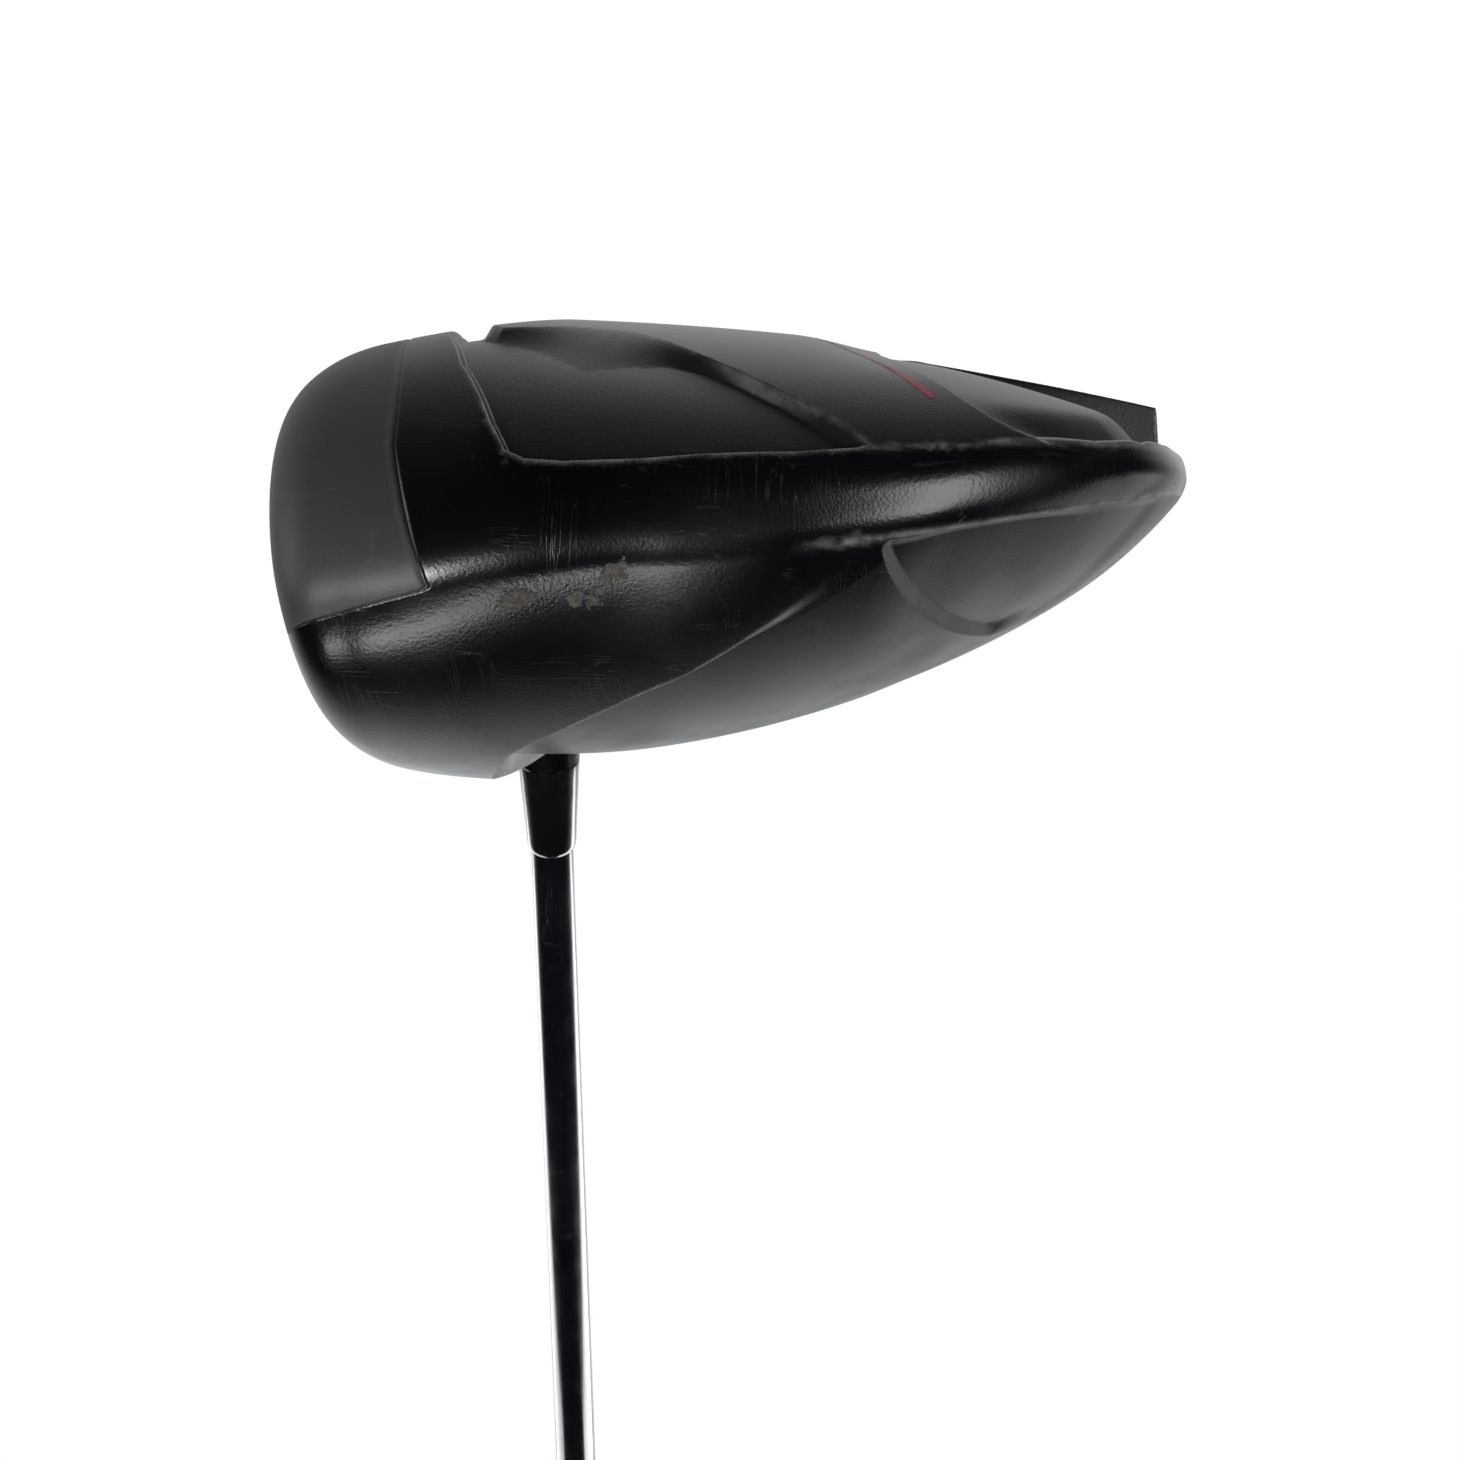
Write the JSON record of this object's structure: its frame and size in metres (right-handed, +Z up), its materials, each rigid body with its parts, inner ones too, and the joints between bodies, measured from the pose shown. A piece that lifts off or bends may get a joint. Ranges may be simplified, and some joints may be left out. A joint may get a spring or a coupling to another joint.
{
  "type": "golf driver",
  "caption": "Right-handed golf driver with a hollow stepped-crown head, bonded tapered shaft, rubber grip and a captive rear weight turned by its own screw.",
  "frame": {"origin": "the ground point under the sole when the club is at address, on the centre line of the face", "axes": "+Z up from the ground, +X from the toe to the heel and on along the shaft's lean, +Y from the face to the tail; the face looks towards -Y and the shaft axis lies in the plane Y = 19 mm, 59 degrees above the ground"},
  "size_m": [0.6998, 0.1162, 0.9927],
  "materials": {
    "head_paint": "satin black paint",
    "crown_paint": "satin black paint",
    "face_finish": "matte dark grey coating",
    "adhesive": "cured epoxy",
    "red_enamel": "gloss red enamel",
    "hot_melt": "soft resin",
    "bare_metal": "bare machined metal",
    "weight_metal": "turned heavy metal",
    "seal_rubber": "matte",
    "screw_steel": "black oxide",
    "pin_brass": "plain",
    "ferrule_plastic": "polished black",
    "shaft_lacquer": "gloss black lacquer over carbon fibre",
    "label_film": "satin film",
    "tape": "paper tape",
    "grip_rubber": "matte moulded rubber"
  },
  "bodies": {
    "club": {"head_body": "head_paint", "face_cup": "face_finish", "crown_panel": "crown_paint", "crown_bond": "adhesive", "stripe_toe": "red_enamel", "stripe_heel": "red_enamel", "damping_glue": "hot_melt", "port_boss": "bare_metal", "hosel_bond": "adhesive", "tip_pin": "pin_brass", "ferrule": "ferrule_plastic", "shaft": "shaft_lacquer", "shaft_label": "label_film", "grip_tape": "tape", "grip": "grip_rubber", "grip_cap": "grip_rubber"},
    "weight": {"rear_weight": "weight_metal", "weight_seal": "seal_rubber"},
    "screw": {"weight_screw": "screw_steel", "screw_clip": "screw_steel"}
  },
  "joints": [
    {"name": "weight_travel", "type": "slide", "parent": "club", "child": "weight", "axis": [0, 0.153, -0.9882], "range_m": [0, 0.0064]},
    {"name": "screw_turn", "type": "hinge", "parent": "weight", "child": "screw", "pos_m": [0, 0.098, 0.00472], "axis": [0, 0.153, -0.9882], "range_deg": [0, 2880]}
  ],
  "couplings": [
    {"joint": "screw_turn", "follows": "weight_travel", "rad_per_m": 7854}
  ]
}
